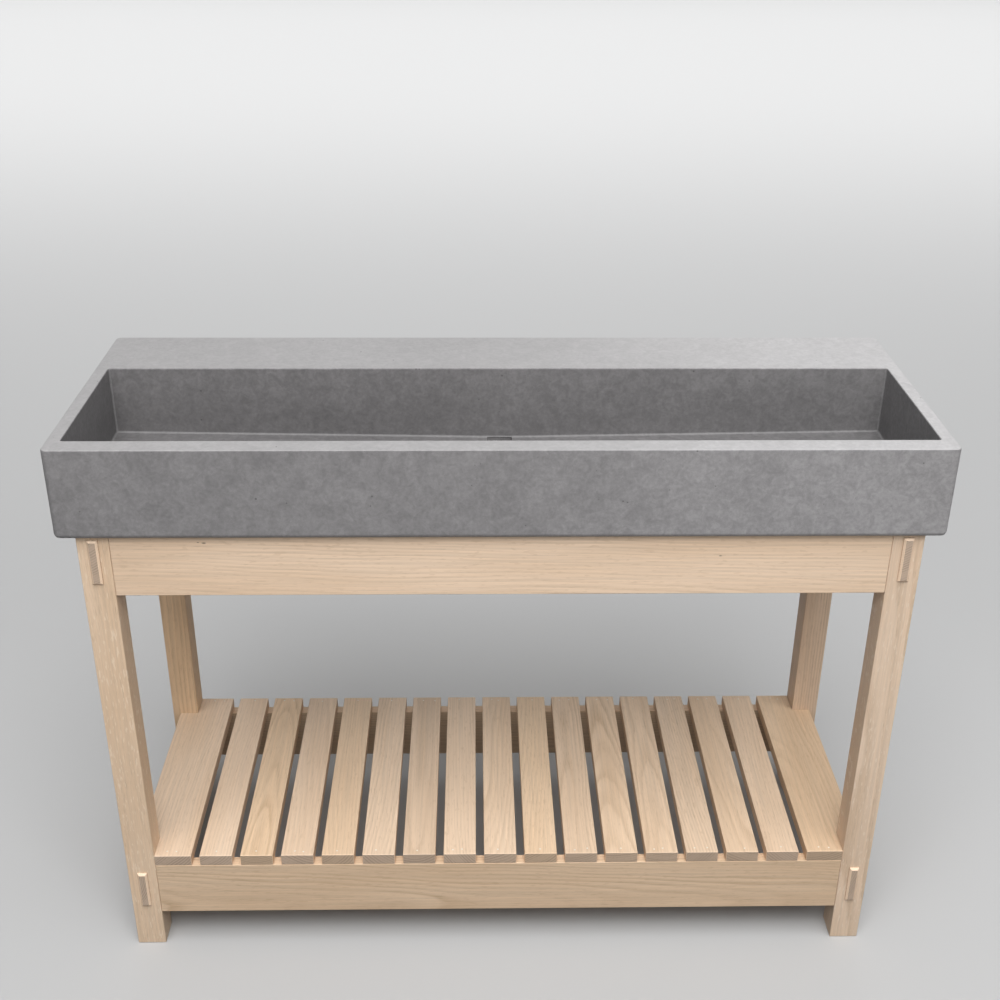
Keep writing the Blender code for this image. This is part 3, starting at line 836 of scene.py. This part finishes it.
# %% [markdown]
# ## Brads
# One or two brads hold each end of each slat. A brad is a thin shank with a small painted head,
# driven until its head sits level with the wood, where it shows as a pale dot. The brad and the
# cutter for its hole are the same shape at two sizes, so one function makes both: a thin round
# whose top is pushed up in steps, wider and then narrower. Each is modelled once and copied to its
# places. The brads of one rail are joined into one piece, and their points in the rail are left
# out.

# %% Brad and its hole
BRAD_PROUD, BRAD_LENGTH, BRAD_SIDES = 0.0002, 0.012, 12


def add_brad(name, shank, head, head_height, top):
    """A shank below the origin, flaring into a head that ends at the height top."""
    neck = top - head_height
    brad = add_round(name, shank, neck - BRAD_LENGTH, neck, (0, 0), BRAD_SIDES)
    for grow, up in ((head / shank, 0.0), (1.0, head_height * 0.7), (0.72, head_height * 0.3)):
        pick(brad, "FACE", lambda face: face.normal.z > 0.99 and len(face.verts) == BRAD_SIDES)
        bpy.ops.mesh.extrude_region_move(TRANSFORM_OT_translate={"value": (0, 0, up)})
        if grow != 1.0:
            bpy.ops.transform.resize(value=(grow, grow, 1), center_override=(0, 0, 0))
        bpy.ops.object.mode_set(mode="OBJECT")
    return brad


def copy_to(model, place):
    """A copy with its own mesh, moved to place with the move kept in the mesh."""
    twin = model.copy()
    twin.data = model.data.copy()
    bpy.context.scene.collection.objects.link(twin)
    twin.location = place
    work_on(twin)
    bpy.ops.object.transform_apply(location=True, rotation=False, scale=False)
    return twin


def join_all(pieces, name):
    work_on(pieces[0])
    for piece in pieces:
        piece.select_set(True)
    bpy.ops.object.join()
    whole = bpy.context.object
    whole.name = whole.data.name = name
    return whole


brad_model = add_brad(
    "brad_model", shank=0.0006, head=0.0014, head_height=0.0008, top=BRAD_PROUD)
hole_model = add_brad("hole_model", shank=0.0007, head=0.00145, head_height=0.0022, top=0.0015)
print("brad of", len(brad_model.data.polygons), "faces")

# %% [markdown]
# ## Shelf
# Fifteen narrow slats and two wide end slats lie across the lower rails. They are separate boards
# with rounded edges, so each gets its own place in the tree, and some are lighter or browner. The
# end slats are notched round the legs.

# %% Slats
ARCHED = ("02", "06", "10", "11", "12")  # slats sawn from right over the heart
PAIR_CHANCE, PAIR_APART = 0.35, (0.006, 0.011)
ASTRAY_ACROSS, ASTRAY_ALONG = 0.005, 0.002


def cut_notches(slat, side):
    for leg_name in (f"leg_front_{side}", f"leg_rear_{side}"):
        leg_low, leg_high = legs[leg_name]
        in_front, behind = (PAST_FACE, FIT) if "front" in leg_name else (FIT, PAST_FACE)
        cut(slat, leg_low - Vector((FIT, in_front, 0)), leg_high + Vector((FIT, behind, 0)))


def brad_spots(name, left, right, top):
    """One or two places over each lower rail, a little astray, between two x positions."""
    hammer = random.Random(name + "_brads")
    spots = {}
    for end, y in rail_middles.items():
        middle = (left + right) / 2 + hammer.uniform(-ASTRAY_ACROSS, ASTRAY_ACROSS)
        paired = hammer.random() < PAIR_CHANCE or name not in slat_names
        apart = hammer.uniform(*PAIR_APART) if paired else 0.0
        places = (middle - apart, middle + apart) if paired else (middle,)
        spots[end] = [(x, y + hammer.uniform(-ASTRAY_ALONG, ASTRAY_ALONG), top) for x in places]
    return spots


def slat_oak(name, centre):
    choice = random.Random(name + "_tree")
    arched = name[-2:] in ARCHED
    distance = choice.uniform(0.04, 0.07) if arched else choice.uniform(0.08, 0.14)
    angle = choice.choice((3, 8, 14) if arched else (20, 30, 40, 55)) * choice.choice((-1, 1))
    return oak(
        "oak_" + name, centre, "Y", (distance, angle), ring=choice.uniform(0.0034, 0.0048),
        taper=choice.uniform(-0.06, 0.06), wave=choice.uniform(0.006, 0.016),
        light=choice.uniform(0.97, 1.07), warm=choice.uniform(-0.4, 1.0),
        figure=choice.uniform(0.5, 1.0) + 0.4 * arched, pore=choice.uniform(0.5, 1.0),
    )


rail_middles = {end: sum(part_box(end + "_lower_rail"), Vector()).y / 2 for end in ("front", "rear")}
brads = {"front": [], "rear": []}
slat_names = sorted(name for name in frame["nodes"] if name.startswith("shelf_slat"))
for name in slat_names + ["end_slat_left", "end_slat_right"]:
    low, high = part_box(name)
    slat = add_block(name + "_oak", low, high)
    round_edges(slat, ROUND_OVER)
    left, right = low.x, high.x
    if name.startswith("end_slat"):
        cut_notches(slat, name.split("_")[2])
        left, right = max(left, legs["leg_front_left"][1].x), min(right, leg_inner)
    spots = brad_spots(name, left, right, high.z)
    for end, places in spots.items():
        brads[end] += [copy_to(brad_model, place) for place in places]
    holes = [copy_to(hole_model, place) for places in spots.values() for place in places]
    combine(slat, join_all(holes, "holes"), "DIFFERENCE")
    shade(slat)
    hand_over(slat, name, slat_oak(name, (low + high) / 2))
for end, driven in brads.items():
    print(end, len(driven), "brads")
    row = join_all(driven, end + "_brads")
    shade(row)
    row.data.materials.clear()
    row.data.materials.append(BRAD_PAINT)
    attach(row, "root")
for model in (brad_model, hole_model):
    bpy.data.objects.remove(model, do_unlink=True)
print(len(slat_names), "slats and two end slats")

# %% [markdown]
# ## Sink
# The sink is one casting. It starts as a block, the basin is cut from it with a second block whose
# floor has been pulled into two gentle ramps, and then the channel, the drain's recess and hole and
# the hollow under the deck follow. The basin's corners are coved and the rim's edges are rounded,
# as a rubber mould leaves them.

# %% Sink: block and basin
sink = add_block("concrete_sink_cast", sink_low, sink_high)

basin = add_block(
    "basin", (basin_low.x, basin_low.y, ramp_low),
    (basin_high.x, basin_high.y, sink_high.z + PAST_FACE),
)
half_channel = SINK["channel_width"] / 2
for x in (-half_channel, half_channel):
    pick(basin, "FACE", lambda face: True)
    bpy.ops.mesh.bisect(plane_co=(x, 0, 0), plane_no=(1, 0, 0))
    bpy.ops.object.mode_set(mode="OBJECT")
# Lift the two ends of the floor, so that it falls from both ends to the channel.
for side in (-1, 1):
    pick(basin, "EDGE", lambda edge: all(
        v.co.z < ramp_low + NEAR and v.co.x * side > half_channel + 1e-4 for v in edge.verts))
    bpy.ops.transform.translate(value=(0, 0, SINK["fall"]))
    bpy.ops.object.mode_set(mode="OBJECT")


def is_cove(edge):
    """The basin's upright corners and the floor's outline, but not the edges beside the channel."""
    a, b = (v.co for v in edge.verts)
    upright = climb(edge) > 0.05
    low_edge = max(a.z, b.z) < ramp_high + 1e-4
    across = abs(a.x - b.x) < 1e-4 and abs(abs(a.x) - half_channel) < 1e-3
    return upright or (low_edge and not across)


round_edges(basin, SINK["cove"], 4, lambda edge: is_cove(edge) and not (
    abs(abs(middle_of(edge).x) - half_channel) < 1e-3))
combine(sink, basin, "DIFFERENCE")
print("basin cut:", len(sink.data.polygons), "faces")

# %% Sink: rim, channel, recess, hole and hollow
# The rim and the outer edges are rounded before the small cuts, so that the bevel meets only long
# edges.
RECESS_ROOM, BORE_RADIUS = 0.003, 0.022275


def on_rim(edge):
    return all(abs(v.co.z - sink_high.z) < NEAR for v in edge.verts)


def on_outside(edge):
    """An edge of the casting's outer block."""
    at_limits = 0
    a, b = (v.co for v in edge.verts)
    for axis in range(3):
        limits = (sink_low[axis], sink_high[axis])
        away = max(min(abs(v[axis] - limit) for limit in limits) for v in (a, b))
        at_limits += away < NEAR and abs(a[axis] - b[axis]) < NEAR
    return at_limits >= 2


round_edges(sink, SINK["edge"], 4, lambda edge: on_outside(edge) and not on_rim(edge))
round_edges(sink, SINK["rim"], 3, lambda edge: on_rim(edge) and is_corner(edge))

cut(
    sink, (-half_channel, basin_low.y, channel_floor),
    (half_channel, basin_high.y, ramp_low + 0.001),
)
flange_radius = (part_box("drain_body")[1].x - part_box("drain_body")[0].x) / 2
drain_at = (drain_x, drain_y)
recess = add_round("recess", flange_radius + RECESS_ROOM, channel_floor, ramp_low + 0.006, drain_at)
combine(sink, recess, "DIFFERENCE")
bore = add_round("bore", BORE_RADIUS, sink_low.z - PAST_FACE, channel_floor + 0.002, drain_at)
combine(sink, bore, "DIFFERENCE")
cut(
    sink,
    (basin_low.x, basin_high.y + SINK["basin_back_wall"], sink_low.z - PAST_FACE),
    (basin_high.x, sink_high.y - SINK["rear_wall"], sink_high.z - SINK["deck_slab"]),
)
print("open edges in the sink:", weld(sink))
shade(sink, 30)
hand_over(sink, "concrete_sink", SINK_CONCRETE)
print("sink:", len(sink.data.polygons), "faces")

# %% [markdown]
# ## Drain
# The drain sits in a round recess in the channel and hangs under the sink. Turned pieces like these
# could be spun from a profile, but a cylinder whose end faces are inset and pushed in or out gives
# the same steps one by one: flange, dish, barrel, bore. The barrel's thread is made by dividing its
# side into thin rings and drawing every second one in.

# %% Push, inset and ring helpers
def pull(piece, test, value):
    """Extrudes the faces that pass the test along a vector."""
    pick(piece, "FACE", test)
    bpy.ops.mesh.extrude_region_move(TRANSFORM_OT_translate={"value": value})
    bpy.ops.object.mode_set(mode="OBJECT")


def inset(piece, test, thickness):
    pick(piece, "FACE", test)
    bpy.ops.mesh.inset(thickness=thickness)
    bpy.ops.object.mode_set(mode="OBJECT")


def resize(piece, test, share, centre):
    """Scales the edges that pass the test in plan, about a centre."""
    pick(piece, "EDGE", test)
    bpy.ops.transform.resize(value=(share, share, 1), center_override=(centre[0], centre[1], 0))
    bpy.ops.object.mode_set(mode="OBJECT")


def at_height(z, near=NEAR):
    return lambda element: all(abs(v.co.z - z) < near for v in element.verts)


def from_axis(place):
    """How far a place is from the drain's upright axis."""
    return math.hypot(place.x - drain_x, place.y - drain_y)


def flat_at(z, normal_z, reach=1.0):
    """Level faces at a height that look up (1) or down (-1), within reach of the drain's axis."""
    def test(face):
        middle = face.calc_center_median()
        level = abs(middle.z - z) < NEAR and face.normal.z * normal_z > 0.99
        return level and from_axis(middle) < reach
    return test


ROUND_SIDES, BARREL_WALL = 96, 0.0029
body_low, body_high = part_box("drain_body")
tail_low, tail_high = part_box("drain_tailpiece")
nut_low, nut_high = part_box("drain_locknut")
bore_radius = (tail_high.x - tail_low.x) / 2 + FIT
barrel_radius = bore_radius + BARREL_WALL
print("drain runs from", round(body_high.z, 4), "to", round(tail_low.z, 4))

# %% Drain body: flange, dish, barrel and bore
FLANGE_THICK, DISH, STRAINER_THICK = 0.0025, 0.0012, 0.0018
LIP, MOUTH = 0.0011, 0.0004  # how far these two edges are rounded
flange_bottom = body_high.z - FLANGE_THICK
body = add_round(
    "drain_body_steel", flange_radius, flange_bottom, body_high.z, drain_at, ROUND_SIDES)
inset(body, flat_at(body_high.z, 1), flange_radius - barrel_radius)
inset(body, flat_at(body_high.z, 1, 0.001), barrel_radius - bore_radius * 0.8)
pick(body, "FACE", flat_at(body_high.z, 1, 0.001))
bpy.ops.transform.translate(value=(0, 0, -DISH))
bpy.ops.object.mode_set(mode="OBJECT")
inset(body, flat_at(flange_bottom, -1), flange_radius - barrel_radius)
pull(body, flat_at(flange_bottom, -1, 0.001), (0, 0, body_low.z - flange_bottom))
inset(body, flat_at(body_low.z, -1), barrel_radius - bore_radius)
bore_top = body_high.z - DISH - STRAINER_THICK
pull(body, flat_at(body_low.z, -1, 0.001), (0, 0, bore_top - body_low.z))
# Round the flange's lip and ease the barrel's mouth.
round_edges(body, LIP, 4, lambda edge: (
    at_height(body_high.z)(edge) and from_axis(middle_of(edge)) > flange_radius * 0.98))
round_edges(body, MOUTH, 2, at_height(body_low.z))
print("drain body:", len(body.data.polygons), "faces")

# %% Drain body: thread and strainer holes
THREADS, THREAD_SHARE = 11, 0.962
STRAINER_HOLE = 0.0025
STRAINER_RINGS = ((0.33, 4), (0.7, 8))  # each ring's share of the bore's radius, and its holes


def on_barrel(place):
    return abs(from_axis(place) - barrel_radius) < NEAR


def is_barrel_side(edge):
    a, b = (v.co for v in edge.verts)
    upright = abs(a.x - b.x) < 1e-6 and abs(a.y - b.y) < 1e-6
    return upright and climb(edge) > 0.01 and on_barrel(a)


pick(body, "EDGE", is_barrel_side)
bpy.ops.mesh.subdivide(number_cuts=2 * THREADS)
bpy.ops.object.mode_set(mode="OBJECT")
levels = sorted({round(v.co.z, 6) for v in body.data.vertices if on_barrel(v.co)})
for level in levels[2:-1:2]:
    resize(
        body, lambda edge: at_height(level, 2e-6)(edge) and on_barrel(edge.verts[0].co),
        THREAD_SHARE, drain_at,
    )
for share, count in STRAINER_RINGS:
    ring_radius = bore_radius * share
    for index in range(count):
        angle = math.tau * index / count
        centre = (drain_x + ring_radius * math.cos(angle), drain_y + ring_radius * math.sin(angle))
        hole = add_round(
            "strainer_hole", STRAINER_HOLE, body_high.z - 0.008, body_high.z + 0.005, centre, 24)
        combine(body, hole, "DIFFERENCE")
print("open edges in the drain body:", weld(body))
shade(body, 30)
hand_over(body, "drain_body", BRUSHED_STEEL)
print("drain body with holes:", len(body.data.polygons), "faces")


# %% Gasket, washer, nut and tailpiece
WASHER_EASE, GASKET_EASE = 0.0003, 0.0012
TAIL_WALL = 0.0014


def add_ring(name, node, inner, ease, steps, finish):
    """A flat ring in its CAD node's box, with eased edges."""
    low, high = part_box(node)
    ring = add_round(name, (high.x - low.x) / 2, low.z, high.z, drain_at, ROUND_SIDES)
    hole = add_round(
        "ring_bore", inner, low.z - PAST_FACE, high.z + PAST_FACE, drain_at, ROUND_SIDES)
    combine(ring, hole, "DIFFERENCE")
    round_edges(ring, ease, steps, lambda edge: climb(edge) < 1e-6 and is_corner(edge))
    shade(ring, 40)
    hand_over(ring, node, finish)


add_ring(
    "drain_gasket_rubber", "drain_gasket", barrel_radius + FIT, GASKET_EASE, 4,
    GASKET_RUBBER,
)
add_ring(
    "drain_washer_steel", "drain_washer", barrel_radius + FIT, WASHER_EASE, 2,
    BRUSHED_STEEL,
)
add_ring(
    "drain_tailpiece_chrome", "drain_tailpiece", (tail_high.x - tail_low.x) / 2 - TAIL_WALL,
    WASHER_EASE, 2, TAIL_CHROME,
)

NUT_CORNER, NUT_RIM = 0.0009, 0.0008
nut_height, nut_radius = nut_high.z - nut_low.z, (nut_high.x - nut_low.x) / 2
nut = add_round("drain_locknut_steel", nut_radius, nut_low.z, nut_high.z, drain_at, 6)
round_edges(nut, NUT_CORNER, 3, lambda edge: climb(edge) > nut_height / 2)
round_edges(nut, NUT_RIM, 3, lambda edge: edge.calc_face_angle(0) > 1.2)
nut_hole = add_round(
    "nut_bore", barrel_radius + FIT, nut_low.z - PAST_FACE, nut_high.z + PAST_FACE,
    drain_at, ROUND_SIDES,
)
combine(nut, nut_hole, "DIFFERENCE")
shade(nut, 30)
hand_over(nut, "drain_locknut", BRUSHED_STEEL)
print("drain ring pieces ready")

# %% Measure the visual box
low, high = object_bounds()
print("visual box:", [round(x, 4) for x in low], [round(x, 4) for x in high])
